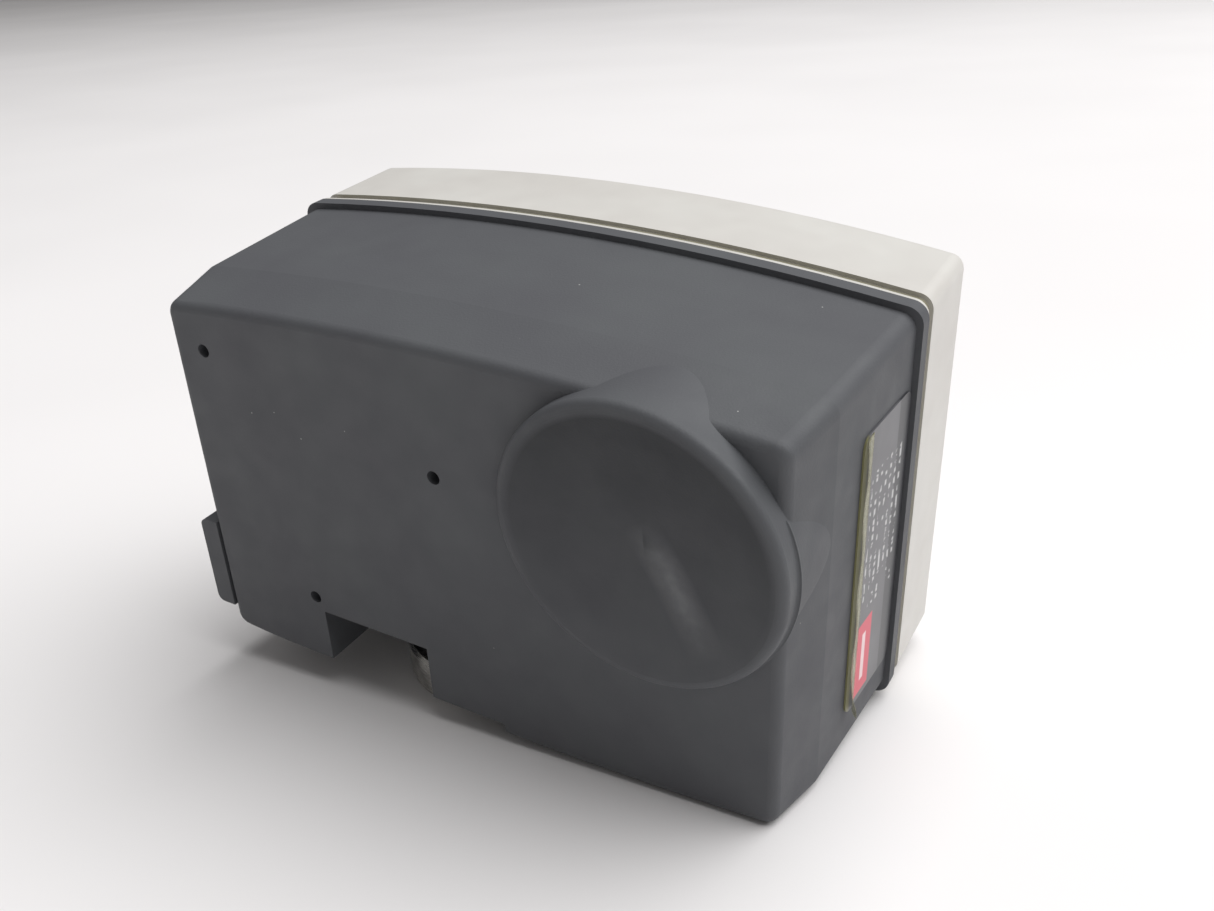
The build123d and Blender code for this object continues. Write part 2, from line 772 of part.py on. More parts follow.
with BuildPart() as gear_posts:
    rod(post_places, post_radius, gear_posts_y, gear_plate_y)
    rod(post_places, neck_screw_radius, plate_face_y, gear_plate_y - plate_thickness - 2.6)
finish(gear_posts, "gear_posts")

with BuildPart() as post_nuts:
    with BuildSketch(at_depth(gear_plate_y - plate_thickness)) as nut_shape:
        with Locations(*post_places):
            RegularPolygon(3.2, 6)
            Circle(neck_screw_radius, mode=Mode.SUBTRACT)
    extrude(nut_shape.sketch, amount=2.4)
finish(post_nuts, "post_nuts")

with BuildPart() as bearing_bracket:
    with BuildSketch(at_depth(bracket_y + plate_thickness)) as bracket_shape:
        with Locations(((bracket_left + bracket_right) / 2, (bracket_bottom + bracket_top) / 2)):
            RectangleRounded(bracket_right - bracket_left, bracket_top - bracket_bottom, 3)
        with Locations(*bracket_places):
            Circle(neck_screw_radius, mode=Mode.SUBTRACT)
        with Locations(output_at):
            Circle(output_shaft_radius + running, mode=Mode.SUBTRACT)
    extrude(bracket_shape.sketch, amount=plate_thickness)
finish(bearing_bracket, "bearing_bracket")

with BuildPart() as bracket_posts:
    rod(bracket_places, bracket_post_radius, bracket_y, plate_face_y)
    rod(bracket_places, neck_screw_radius, bracket_y, plate_face_y, Mode.SUBTRACT)
finish(bracket_posts, "bracket_posts")

with BuildPart() as bracket_screws:
    rod(bracket_places, 2.7, bracket_y + plate_thickness + 1.6, bracket_y + plate_thickness)
    rod(bracket_places, neck_screw_radius, bracket_y + plate_thickness, plate_face_y - plate_thickness)
finish(bracket_screws, "bracket_screws")

# ---------------------------------------------------------------- motor
end_plate_rear = plate_face_y + end_plate_thickness
can_rear = end_plate_rear + can_length
shaft_front = layer_y[2] - gear_width - 0.4
with BuildPart() as motor_end_plate:
    rod([motor_at], can_radius, end_plate_rear, plate_face_y)
    rod([motor_at], motor_bush_radius, end_plate_rear, plate_face_y, Mode.SUBTRACT)
    rod(motor_screw_places, neck_screw_radius, end_plate_rear, plate_face_y, Mode.SUBTRACT)
finish(motor_end_plate, "motor_end_plate")

with BuildPart() as motor_can:
    rod([motor_at], can_radius, can_rear, end_plate_rear)
    fillet(motor_can.edges().filter_by(GeomType.CIRCLE).sort_by(Axis.Y)[-1], 1.5)
    rod([motor_at], can_radius - can_wall, can_rear - can_wall, end_plate_rear, Mode.SUBTRACT)
    rod([motor_at], motor_bush_radius, can_rear, can_rear - can_wall, Mode.SUBTRACT)
finish(motor_can, "motor_can")

coil_front = end_plate_rear + 2.5
with BuildPart() as motor_coil:
    rod([motor_at], coil_outer, coil_front + coil_length, coil_front)
    rod([motor_at], coil_inner, coil_front + coil_length, coil_front, Mode.SUBTRACT)
finish(motor_coil, "motor_coil")

with BuildPart() as motor_bushes:
    rod([motor_at], motor_bush_radius, end_plate_rear + motor_bush_length - 1.5, plate_face_y)
    rod([motor_at], motor_bush_radius, can_rear, can_rear - motor_bush_length)
    rod([motor_at], arbor_radius + running, can_rear, plate_face_y, Mode.SUBTRACT)
finish(motor_bushes, "motor_bushes")

rotor_front = end_plate_rear + motor_bush_length
with BuildPart() as motor_shaft:
    rod([motor_at], arbor_radius, can_rear - 0.5, shaft_front)
finish(motor_shaft, "motor_shaft")

with BuildPart() as motor_rotor:
    rod([motor_at], rotor_radius, rotor_front + rotor_length, rotor_front)
    rod([motor_at], arbor_radius, rotor_front + rotor_length, rotor_front, Mode.SUBTRACT)
finish(motor_rotor, "motor_rotor")

with BuildPart() as motor_screws:
    rod(motor_screw_places, screw_head, gear_posts_y, gear_posts_y - thin_head)
    rod(motor_screw_places, neck_screw_radius, end_plate_rear + 0.8, gear_posts_y)
finish(motor_screws, "motor_screws")

# ---------------------------------------------------------------- gears
with BuildPart() as motor_pinion:
    toothed_wheel(
        motor_at, first_module, pinion_teeth, motor_pinion_turn, layer_y[2], gear_width, small_backlash
    )
    rod([motor_at], arbor_radius, layer_y[2], layer_y[2] - gear_width, Mode.SUBTRACT)
finish(motor_pinion, "motor_pinion")

with BuildPart() as first_gear:
    toothed_wheel(
        first_at, first_module, first_teeth, first_turn_rest, layer_y[2], gear_width, small_backlash
    )
    toothed_wheel(
        first_at,
        second_module,
        pinion_teeth,
        first_pinion_turn,
        layer_y[1],
        gear_width + gear_gap,
        small_backlash,
    )
    rod([first_at], arbor_radius, layer_y[1], layer_y[2] - gear_width, Mode.SUBTRACT)
finish(first_gear, "first_gear")

with BuildPart() as first_arbor:
    rod([first_at], arbor_radius, rear_shaft_end, front_shaft_end)
finish(first_arbor, "first_arbor")

with BuildPart() as second_gear:
    toothed_wheel(
        second_at, second_module, second_teeth, second_turn_rest, layer_y[1], gear_width, small_backlash
    )
    toothed_wheel(
        second_at,
        third_module,
        pinion_teeth,
        second_pinion_turn,
        layer_y[0],
        gear_width + gear_gap,
        wide_backlash,
    )
    rod([second_at], arbor_radius, layer_y[0], layer_y[1] - gear_width, Mode.SUBTRACT)
finish(second_gear, "second_gear")

knob_rear_y = cover_front_y + 8.5
with BuildPart() as override_shaft:
    rod([second_at], arbor_radius, rear_shaft_end, front_shaft_end)
    rod([second_at], 3.0, front_shaft_end, knob_rear_y)
finish(override_shaft, "override_shaft")

with BuildPart() as override_knob:
    rod([second_at], knob_radius, knob_rear_y, cover_front_y + 0.4)
    with BuildSketch(at_depth(knob_rear_y - 3)) as hex_socket:
        with Locations(second_at):
            RegularPolygon(hex_across / 2, 6, major_radius=False)
    extrude(hex_socket.sketch, amount=8, mode=Mode.SUBTRACT)
    chamfer(override_knob.edges().filter_by(GeomType.CIRCLE).sort_by(Axis.Y)[0], 0.6)
finish(override_knob, "override_knob")

with BuildPart() as output_gear:
    toothed_wheel(
        output_at, third_module, output_teeth, output_turn, layer_y[0], gear_width, wide_backlash
    )
    rod([output_at], 8.0, layer_y[0], layer_y[1])
    rod([output_at], output_shaft_radius, layer_y[0], layer_y[1], Mode.SUBTRACT)
    with BuildSketch(at_depth(layer_y[0])) as lightening:
        with Locations(output_at):
            with PolarLocations(15.5, 5):
                Circle(4.5)
    extrude(lightening.sketch, amount=gear_width, mode=Mode.SUBTRACT)
finish(output_gear, "output_gear")

with BuildPart() as rack_pinion:
    rack_rear = rack_width / 2
    toothed_wheel(
        output_at, rack_module, rack_teeth, rack_pinion_turn, rack_rear, rack_width, rack_backlash
    )
    rod([output_at], output_shaft_radius, rack_rear, -rack_rear, Mode.SUBTRACT)
finish(rack_pinion, "rack_pinion")

with BuildPart() as output_shaft:
    rod([output_at], output_shaft_radius, bracket_y + plate_thickness + 0.6, front_shaft_end)
finish(output_shaft, "output_shaft")

# ---------------------------------------------------------------- circuit board
board_front = board_y - board_thickness
with BuildPart() as circuit_board:
    with BuildSketch(at_depth(board_y)) as board_shape:
        with Locations(((board_left + board_right) / 2, (board_bottom + board_top) / 2)):
            RectangleRounded(board_right - board_left, board_top - board_bottom, 2)
        with Locations(*board_pillars):
            Circle(neck_screw_radius, mode=Mode.SUBTRACT)
    extrude(board_shape.sketch, amount=board_thickness)
finish(circuit_board, "circuit_board")

with BuildPart() as board_screws:
    rod(board_pillars, screw_head, board_front, board_front - screw_head_height)
    rod(board_pillars, neck_screw_radius, board_y + screw_depth, board_front)
finish(board_screws, "board_screws")

terminal_places = [
    (terminal_left + (i + 0.5) * terminal_pitch, terminal_z) for i in range(terminal_count)
]
with BuildPart() as terminal_block:
    block(
        (terminal_left, terminal_left + terminal_count * terminal_pitch),
        (board_front - terminal_depth, board_front),
        (terminal_z - 11.0, terminal_z + 4.0),
    )
    rod(terminal_places, 2.0, board_front - terminal_depth + 9, board_front - terminal_depth, Mode.SUBTRACT)
    for x, _ in terminal_places:
        block(
            (x - 1.8, x + 1.8),
            (board_front - 8, board_front - 3),
            (terminal_z - 11.0, terminal_z - 5.5),
            Mode.SUBTRACT,
        )
finish(terminal_block, "terminal_block")

with BuildPart() as terminal_screws:
    screw_front = board_front - terminal_depth + 2
    rod(terminal_places, 1.9, screw_front + 7, screw_front)
    for x, z in terminal_places:
        block((x - 1.9, x + 1.9), (screw_front, screw_front + 0.8), (z - 0.3, z + 0.3), Mode.SUBTRACT)
finish(terminal_screws, "terminal_screws")

with BuildPart() as capacitor:
    upright([(50.0, board_front - 7.5)], 7.0, 50.0, 74.0)
    fillet(capacitor.edges().filter_by(GeomType.CIRCLE), 1.0)
    block((46.0, 54.0), (board_front - 7.5, board_front), (53.0, 71.0))
finish(capacitor, "capacitor")

with BuildPart() as relays:
    for low in (46.0, 66.0):
        block((28.0, 39.0), (board_front - 14, board_front), (low, low + 16))
    fillet(relays.edges().filter_by(Axis.Y), 0.8)
finish(relays, "relays")

with BuildPart() as status_light:
    rod([(light_x, light_z)], 1.5, board_front, board_front - 5)
    fillet(status_light.edges().filter_by(GeomType.CIRCLE).sort_by(Axis.Y)[0], 1.2)
finish(status_light, "status_light")

with BuildPart() as light_guide:
    rod([(light_x, light_z)], light_radius, board_front - 6, cover_front_y - 0.3)
    rod([(light_x, light_z)], light_radius + 1.2, cover_inner_y + 1.5, cover_inner_y)
finish(light_guide, "light_guide")

# ---------------------------------------------------------------- end switches
finger_top = finger_bottom + finger_height
upper_bottom = finger_top + switch_gap + 2.2
lower_top = finger_bottom - stroke - switch_gap - 2.2
plunger_y = plate_face_y + switch_depth / 2
switch_left = switch_x - switch_length / 2
switch_screw_x = [switch_x, switch_x + 5.5]
switch_centres = [upper_bottom + switch_height / 2, lower_top - switch_height / 2]
switch_screw_places = [(x, z) for x in switch_screw_x for z in switch_centres]
with BuildPart() as end_switches:
    for low in (upper_bottom, lower_top - switch_height):
        block(
            (switch_left, switch_left + switch_length),
            (plate_face_y, plate_face_y + switch_depth),
            (low, low + switch_height),
        )
    plunger_at = [(plunger_x, plunger_y)]
    plunger_hole = plunger_radius + running
    upright(plunger_at, plunger_hole, upper_bottom, upper_bottom + 4.2, Mode.SUBTRACT)
    upright(plunger_at, plunger_hole, lower_top - 4.2, lower_top, Mode.SUBTRACT)
    rod(switch_screw_places, 1.0, plate_face_y + switch_depth, plate_face_y, Mode.SUBTRACT)
finish(end_switches, "end_switches")

with BuildPart() as upper_plunger:
    upright(plunger_at, plunger_radius, finger_top + switch_gap, upper_bottom + 3)
finish(upper_plunger, "upper_switch_plunger")

with BuildPart() as lower_plunger:
    upright(plunger_at, plunger_radius, lower_top - 3, finger_bottom - stroke - switch_gap)
finish(lower_plunger, "lower_switch_plunger")

with BuildPart() as switch_screws:
    screw_rear = plate_face_y + switch_depth
    rod(switch_screw_places, 1.9, screw_rear + 1.2, screw_rear)
    rod(switch_screw_places, 1.0, screw_rear, plate_face_y)
finish(switch_screws, "switch_screws")

# ---------------------------------------------------------------- release button
button_flange_y = cover_inner_y + slack
guide_front_y = gear_plate_y - plate_thickness - 15
with BuildPart() as release_button:
    rod([motor_at], button_radius, button_flange_y, cover_front_y - 1.0)
    fillet(release_button.edges().filter_by(GeomType.CIRCLE).sort_by(Axis.Y)[0], 0.8)
    rod([motor_at], button_radius + 1.5, button_flange_y + 1.5, button_flange_y)
    rod([motor_at], 2.5, gear_plate_y - plate_thickness - 1.5, button_flange_y + 1.5)
finish(release_button, "release_button")

with BuildPart() as button_guide:
    guide_rear_y = gear_plate_y - plate_thickness
    rod([motor_at], 8.0, guide_rear_y, guide_front_y)
    rod([motor_at], 2.5 + 2 * running, guide_rear_y, guide_front_y, Mode.SUBTRACT)
finish(button_guide, "button_guide")

spring_wire = 0.5
spring_room = guide_front_y - button_flange_y - 1.5 - button_travel - slack
with BuildPart() as release_spring:
    spring_base = at_depth(guide_front_y - spring_wire)
    spring_path = Helix(
        pitch=spring_room / 5,
        height=spring_room - 2 * spring_wire,
        radius=4.2,
        center=(motor_x, guide_front_y - spring_wire, motor_z),
        direction=(0, -1, 0),
    )
    with BuildSketch(Plane(origin=spring_path @ 0, z_dir=spring_path % 0)) as wire_section:
        Circle(spring_wire)
    sweep(wire_section.sketch, path=spring_path)
finish(release_spring, "release_spring")

# ---------------------------------------------------------------- cable entry
with BuildPart() as cable_grommets:
    upright(grommet_places, entry_radius + 1.6, rear_bottom - 1.4, rear_bottom)
    upright(grommet_places, entry_radius, rear_bottom, inner_bottom)
    upright(grommet_places, entry_radius + 1.4, inner_bottom, inner_bottom + 1.4)
    upright(grommet_places, cable_radius, rear_bottom - 1.4, inner_bottom + 1.4, Mode.SUBTRACT)
finish(cable_grommets, "cable_grommets")
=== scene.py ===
import bpy
import numpy as np
from mathutils import Matrix, Vector


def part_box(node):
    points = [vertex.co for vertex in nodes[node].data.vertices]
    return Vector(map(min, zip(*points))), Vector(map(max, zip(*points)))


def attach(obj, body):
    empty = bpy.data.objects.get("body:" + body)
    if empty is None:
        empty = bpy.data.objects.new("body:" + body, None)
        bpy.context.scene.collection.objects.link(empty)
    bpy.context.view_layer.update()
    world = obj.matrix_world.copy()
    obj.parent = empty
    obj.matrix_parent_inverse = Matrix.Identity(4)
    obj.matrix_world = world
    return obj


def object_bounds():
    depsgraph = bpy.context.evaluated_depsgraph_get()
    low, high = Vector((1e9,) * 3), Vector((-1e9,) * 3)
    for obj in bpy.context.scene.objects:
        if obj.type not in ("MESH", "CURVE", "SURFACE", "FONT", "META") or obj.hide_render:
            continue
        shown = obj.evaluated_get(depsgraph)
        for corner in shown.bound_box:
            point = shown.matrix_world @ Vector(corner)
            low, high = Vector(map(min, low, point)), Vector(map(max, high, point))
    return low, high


bl_info = {
    "name": "Motorised Actuator Head",
    "version": (1, 0, 0),
    "blender": (4, 5, 0),
    "location": "3D View > Sidebar > Actuator",
    "description": "Finishes, root fillet, label and stage of a motorised actuator head",
    "category": "Object",
}

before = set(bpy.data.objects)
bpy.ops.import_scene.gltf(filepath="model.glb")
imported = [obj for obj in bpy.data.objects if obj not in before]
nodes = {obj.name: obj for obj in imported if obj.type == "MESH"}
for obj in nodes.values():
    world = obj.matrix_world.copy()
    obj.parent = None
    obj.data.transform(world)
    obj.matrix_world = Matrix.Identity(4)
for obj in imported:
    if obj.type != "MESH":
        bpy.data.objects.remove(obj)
cad_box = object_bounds()
MM = 0.001

cover_high = np.array(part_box("front_cover")[1])
label_low, label_high = (np.array(c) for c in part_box("rating_label"))
can_low, can_high = (np.array(c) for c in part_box("motor_can"))
MOTOR_X = (can_low[0] + can_high[0]) / 2
MOTOR_Z = (can_low[2] + can_high[2]) / 2

# The motor boss: its drum's radius, and the Y of the flat rear face that it stands on.
BOSS_RADIUS = 32.7 * MM
REAR_FACE = 28.0 * MM
PLASTIC_IOR = 1.5
# Steps of the fillet's sweep round the boss.
FILLET_STEPS = 260
# Slope of the floor's normal along X and Y, since the object rests on its nut and its lower rear edge.
FLOOR_SLOPE_X = 0.075
FLOOR_SLOPE_Y = -0.10
# Half the width of the floor in metres.
FLOOR_REACH = 7
# Where the key light hangs and how wide its disk is, in metres.
KEY_PLACE = (-1.15, -1.2, 3.5)
KEY_SIZE = 5.0
ROOM_STRENGTH = 0.23
CAMERA_PLACE = (-0.15961, 0.20276, 0.20802)
CAMERA_BACK = (-0.448, 0.7385, 0.504)
CAMERA_RIGHT = (-0.8656, -0.4993, -0.0377)


# ---------------------------------------------------------------- sizes and colours
class HousingSettings(bpy.types.PropertyGroup):
    body_color: bpy.props.StringProperty(
        name="Body colour", description="sRGB hex of the graphite moulding", default="#525458"
    )
    root_width: bpy.props.FloatProperty(
        name="Root width",
        description="Radius of the fillet at the root of the motor boss on the rear face",
        default=0.9 * MM,
        unit="LENGTH",
    )


class CoverSettings(bpy.types.PropertyGroup):
    body_color: bpy.props.StringProperty(
        name="Body colour", description="sRGB hex of the pale cover moulding", default="#cdcac5"
    )
    groove_shade_color: bpy.props.StringProperty(
        name="Groove colour",
        description="sRGB hex of the grime in the groove round the cover",
        default="#85816a",
    )


class LabelSettings(bpy.types.PropertyGroup):
    foil_color: bpy.props.StringProperty(
        name="Foil colour", description="sRGB hex of the printed grey foil", default="#57575b"
    )
    patch_color: bpy.props.StringProperty(
        name="Patch colour", description="sRGB hex of the red patch", default="#d4455a"
    )
    edge_lift: bpy.props.FloatProperty(
        name="Edge lift", description="How far the rear edge of the clear film stands off the wall",
        default=0.9 * MM, unit="LENGTH",
    )
    corner_curl: bpy.props.FloatProperty(
        name="Corner curl", description="How far the lower rear corner of the film curls up",
        default=2.2 * MM, unit="LENGTH",
    )


class StageSettings(bpy.types.PropertyGroup):
    floor_color: bpy.props.StringProperty(
        name="Floor colour", description="sRGB hex of the floor", default="#eeecec"
    )
    key_power: bpy.props.FloatProperty(
        name="Key light", description="Power of the large overhead light", default=222.0, unit="POWER"
    )
    lens: bpy.props.FloatProperty(
        name="Lens", description="Focal length of the camera in millimetres", default=36.85
    )


# ---------------------------------------------------------------- shading helpers
def color(text):
    """Linear colour from an sRGB hex value."""
    channels = [int(text[i:i + 2], 16) / 255 for i in (1, 3, 5)]
    linear = [c / 12.92 if c <= 0.04045 else ((c + 0.055) / 1.055) ** 2.4 for c in channels]
    return (*linear, 1.0)


def add(tree, kind, settings=(), links=()):
    """Adds a node to a tree, sets its values and attributes, and links its inputs."""
    node = tree.nodes.new(kind)
    for key, value in dict(settings).items():
        if isinstance(key, int) or key in node.inputs:
            node.inputs[key].default_value = value
        else:
            setattr(node, key, value)
    for key, source in dict(links).items():
        tree.links.new(source, node.inputs[key])
    return node


def new_finish(name, base, roughness, metallic=0.0, **sockets):
    """New material with one Principled shader whose plain values are on its own sockets."""
    material = bpy.data.materials.new(name)
    material.use_nodes = True
    tree = material.node_tree
    shader = tree.nodes["Principled BSDF"]
    shader.inputs["Base Color"].default_value = color(base)
    shader.inputs["Roughness"].default_value = roughness
    shader.inputs["Metallic"].default_value = metallic
    for key, value in sockets.items():
        shader.inputs[key.replace("_", " ")].default_value = value
    return material, tree, shader


def where(tree, scale=(1, 1, 1)):
    """Object coordinates, stretched, as a vector socket."""
    place = add(tree, "ShaderNodeTexCoord")
    return add(
        tree, "ShaderNodeMapping", {"Scale": scale}, {"Vector": place.outputs["Object"]}
    ).outputs["Vector"]


def grain(tree, size, detail=2.0, stretch=(1, 1, 1)):
    """Noise whose grains are about one size across, in metres."""
    return add(
        tree, "ShaderNodeTexNoise", {"Scale": 1 / size, "Detail": detail}, {"Vector": where(tree, stretch)}
    ).outputs["Fac"]


def between(tree, value, low, high, to_low=0.0, to_high=1.0):
    """A value carried from one range onto another and held at its ends."""
    return add(
        tree,
        "ShaderNodeMapRange",
        {"From Min": low, "From Max": high, "To Min": to_low, "To Max": to_high},
        {"Value": value},
    ).outputs["Result"]


def mixed(tree, factor, first, second):
    """Two colours mixed by a factor. Each is a hex value or a socket."""
    node = add(tree, "ShaderNodeMix", {"data_type": "RGBA"}, {0: factor})
    for key, value in ((6, first), (7, second)):
        if isinstance(value, str):
            node.inputs[key].default_value = color(value)
        else:
            tree.links.new(value, node.inputs[key])
    return node.outputs[2]


def math_of(tree, operation, first, second=0.0):
    """One step of arithmetic on sockets or numbers."""
    node = add(tree, "ShaderNodeMath", {"operation": operation})
    for key, value in ((0, first), (1, second)):
        if isinstance(value, (int, float)):
            node.inputs[key].default_value = value
        else:
            tree.links.new(value, node.inputs[key])
    return node.outputs[0]


def product(tree, first, *others):
    """Product of sockets and numbers, taken from left to right."""
    for other in others:
        first = math_of(tree, "MULTIPLY", first, other)
    return first


def relief(tree, shader, height, depth, strength=1.0):
    """Bump of a depth in metres."""
    bump = add(tree, "ShaderNodeBump", {"Distance": depth, "Strength": strength}, {"Height": height})
    tree.links.new(bump.outputs["Normal"], shader.inputs["Normal"])


def coordinates(tree):
    """X, Y and Z of a point in metres, as three sockets."""
    split = add(tree, "ShaderNodeSeparateXYZ", (), {0: where(tree)})
    return [split.outputs[i] for i in range(3)]


def patch_of(tree, y, z, y_range, z_range, soft=0.2 * MM, long_soft=None):
    """One inside a rectangle on the label's face and zero outside it, with soft edges."""
    long_soft = soft if long_soft is None else long_soft
    across = product(
        tree,
        between(tree, y, y_range[0], y_range[0] + soft),
        between(tree, y, y_range[1], y_range[1] - soft),
    )
    along = product(
        tree,
        between(tree, z, z_range[0], z_range[0] + long_soft),
        between(tree, z, z_range[1], z_range[1] - long_soft),
    )
    return product(tree, across, along)


def coat(names, material):
    """Gives CAD nodes or new pieces a material in every slot."""
    for name in names:
        piece = nodes[name] if name in nodes else bpy.data.objects[name]
        if not piece.material_slots:
            piece.data.materials.append(material)
        for slot in piece.material_slots:
            slot.material = material


# ---------------------------------------------------------------- surface helpers
def sheet_mesh(name, points, close_v=False):
    """Mesh piece on a grid of points, optionally closed round its second direction."""
    rows, columns = points.shape[:2]
    index = np.arange(rows * columns).reshape(rows, columns)
    if close_v:
        index = np.hstack([index, index[:, :1]])
    quads = np.stack([index[:-1, :-1], index[:-1, 1:], index[1:, 1:], index[1:, :-1]], axis=-1)
    mesh = bpy.data.meshes.new(name)
    mesh.from_pydata(points.reshape(-1, 3).tolist(), [], quads.reshape(-1, 4).tolist())
    mesh.polygons.foreach_set("use_smooth", np.ones(len(mesh.polygons), dtype=bool))
    mesh.update()
    piece = bpy.data.objects.new(name, mesh)
    bpy.context.scene.collection.objects.link(piece)
    return piece


# ---------------------------------------------------------------- finishes of the casing
def graphite_moulding():
    """Spark-eroded glass-filled nylon: a dark slate body with a fine dry grain that scatters
    highlights, painted shade and a painted highlight in the boss's dish, and a few specks of dust."""
    settings = bpy.context.scene.actuator_housing
    material, tree, shader = new_finish(
        "graphite_nylon_moulded", settings.body_color, 0.62, IOR=PLASTIC_IOR, Specular_IOR_Level=0.42
    )
    x, y, z = coordinates(tree)
    cloud = between(tree, grain(tree, 28 * MM, 3.0), 0.35, 0.65)
    body = mixed(tree, cloud, "#505155", "#545659")
    # Painted shade: the dish of the boss is darker towards its top, which faces down, away from the light.
    off_x = math_of(tree, "SUBTRACT", x, float(MOTOR_X))
    off_z = math_of(tree, "SUBTRACT", z, float(MOTOR_Z))
    squares = math_of(tree, "ADD", product(tree, off_x, off_x), product(tree, off_z, off_z))
    reach = math_of(tree, "SQRT", squares)
    on_rear = between(tree, y, REAR_FACE - 0.9 * MM, REAR_FACE - 0.5 * MM)
    in_dish = product(tree, between(tree, reach, 31.5 * MM, 29.0 * MM), on_rear)
    painted_dish_shade = product(tree, in_dish, between(tree, off_z, -24 * MM, 24 * MM, 0.08, 0.8))
    body = mixed(tree, painted_dish_shade, body, "#1e2023")
    # Painted highlight: a soft pale band, patchy along its length, across the lower half of the dish.
    along = math_of(tree, "ADD", product(tree, off_x, -0.55), product(tree, off_z, -0.83))
    across = math_of(tree, "ADD", product(tree, off_x, 0.83), product(tree, off_z, -0.55))
    off_middle = math_of(tree, "ABSOLUTE", math_of(tree, "ADD", across, 1.5 * MM))
    band = between(tree, off_middle, 5.2 * MM, 0.6 * MM)
    ends = product(
        tree, between(tree, along, -4 * MM, 6 * MM), between(tree, along, 27 * MM, 17 * MM)
    )
    patchy = between(tree, grain(tree, 4.0 * MM, 4.0), 0.2, 0.8, 0.35, 1.0)
    painted_dish_highlight = product(tree, band, ends, patchy, in_dish, 0.26)
    body = mixed(tree, painted_dish_highlight, body, "#b4b6b8")
    # Dust specks of 0.2 to 0.4 mm, a few on each face.
    cells = add(tree, "ShaderNodeTexVoronoi", {"Scale": 1 / (7 * MM)}, {"Vector": where(tree)})
    near = between(tree, cells.outputs["Distance"], 0.030, 0.018)
    chance = add(tree, "ShaderNodeSeparateColor", (), {0: cells.outputs["Color"]}).outputs[0]
    speck = product(tree, near, between(tree, chance, 0.80, 0.82), 0.55)
    body = mixed(tree, speck, body, "#d0d0cc")
    tree.links.new(body, shader.inputs["Base Color"])
    # Worn sheen varies over a few millimetres.
    tree.links.new(
        between(tree, grain(tree, 9 * MM, 3.0), 0.3, 0.7, 0.54, 0.68), shader.inputs["Roughness"]
    )
    # Grain of 0.35 mm, drawn at 0.5 mm so that it shows.
    relief(tree, shader, grain(tree, 0.5 * MM, 3.0), 0.05 * MM, 0.9)
    return material


def pale_moulding():
    """Smooth satin ABS, warm light grey: soft broad highlights, painted shade in the narrow groove."""
    settings = bpy.context.scene.actuator_cover
    material, tree, shader = new_finish(
        "pale_abs_satin", settings.body_color, 0.42, IOR=1.53, Specular_IOR_Level=0.5
    )
    y = coordinates(tree)[1]
    parting = float(cover_high[1])
    lip = 1.2 * MM
    groove = 4.2 * MM
    in_groove = product(
        tree,
        between(tree, y, parting - lip + 0.05 * MM, parting - lip - 0.15 * MM),
        between(tree, y, parting - groove - 0.1 * MM, parting - groove + 0.25 * MM),
    )
    tint = between(tree, grain(tree, 22 * MM, 2.0), 0.35, 0.65)
    body = mixed(tree, tint, settings.body_color, "#d2d0cb")
    # Painted shade: the narrow groove behind the lip is darkened to an olive grey, patchy along it.
    painted_groove_shade = product(tree, in_groove, between(tree, grain(tree, 3 * MM, 3.0), 0.2, 0.7, 0.75, 1.0))
    tree.links.new(mixed(tree, painted_groove_shade, body, settings.groove_shade_color), shader.inputs["Base Color"])
    tree.links.new(
        between(tree, grain(tree, 6 * MM, 2.0), 0.3, 0.7, 0.38, 0.48), shader.inputs["Roughness"]
    )
    relief(tree, shader, grain(tree, 0.4 * MM, 2.0), 0.012 * MM, 0.5)
    return material


def printed_foil():
    """Grey printed polyester foil: satin, with rows of pale print and one red patch."""
    settings = bpy.context.scene.actuator_label
    material, tree, shader = new_finish("printed_polyester_foil", settings.foil_color, 0.36, IOR=1.57)
    _, y, z = coordinates(tree)
    low_y, high_y = float(label_low[1]), float(label_high[1])
    low_z = float(label_low[2])
    # Rows run up the label. Each row is a thin line across Y, broken into dashes along Z.
    row = math_of(tree, "FRACT", math_of(tree, "DIVIDE", math_of(tree, "SUBTRACT", y, low_y), 2.6 * MM))
    line = product(tree, between(tree, row, 0.30, 0.34), between(tree, row, 0.72, 0.68))
    dashes = between(tree, grain(tree, 1.1 * MM, 2.0, (1, 0.25, 1)), 0.49, 0.53)
    words = between(tree, grain(tree, 7 * MM, 1.0, (1, 2.5, 1)), 0.42, 0.46)
    area = patch_of(
        tree, y, z, (low_y + 2.5 * MM, high_y - 5.4 * MM), (low_z + 24 * MM, low_z + 60 * MM),
        long_soft=0.3 * MM,
    )
    rows = product(tree, line, dashes, words, area, 0.75)
    # Red patch at the lower rear, with one plain light bar along it.
    patch = patch_of(
        tree, y, z, (high_y - 12.4 * MM, high_y - 3.9 * MM), (low_z + 1.6 * MM, low_z + 21.7 * MM)
    )
    bar = patch_of(
        tree, y, z, (high_y - 9.3 * MM, high_y - 7.2 * MM), (low_z + 5 * MM, low_z + 18.2 * MM)
    )
    # Painted shadow: the strip next to the flange is darkened where the flange step shades it. The rear
    # margin has a yellowed edge.
    dark = between(tree, y, low_y + 6.6 * MM, low_y + 6.3 * MM)
    margin = between(tree, y, high_y - 2.6 * MM, high_y - 1.2 * MM)
    cloud = between(tree, grain(tree, 12 * MM, 2.0), 0.35, 0.65)
    body = mixed(tree, cloud, settings.foil_color, "#606064")
    body = mixed(tree, dark, body, "#3a3b3f")
    body = mixed(tree, product(tree, margin, 0.8), body, "#8b8858")
    body = mixed(tree, patch, body, settings.patch_color)
    body = mixed(tree, product(tree, bar, 0.85), body, "#f0dcdd")
    body = mixed(tree, rows, body, "#d3d3d3")
    tree.links.new(body, shader.inputs["Base Color"])
    relief(tree, shader, grain(tree, 4 * MM, 2.0), 0.04 * MM, 0.4)
    return material


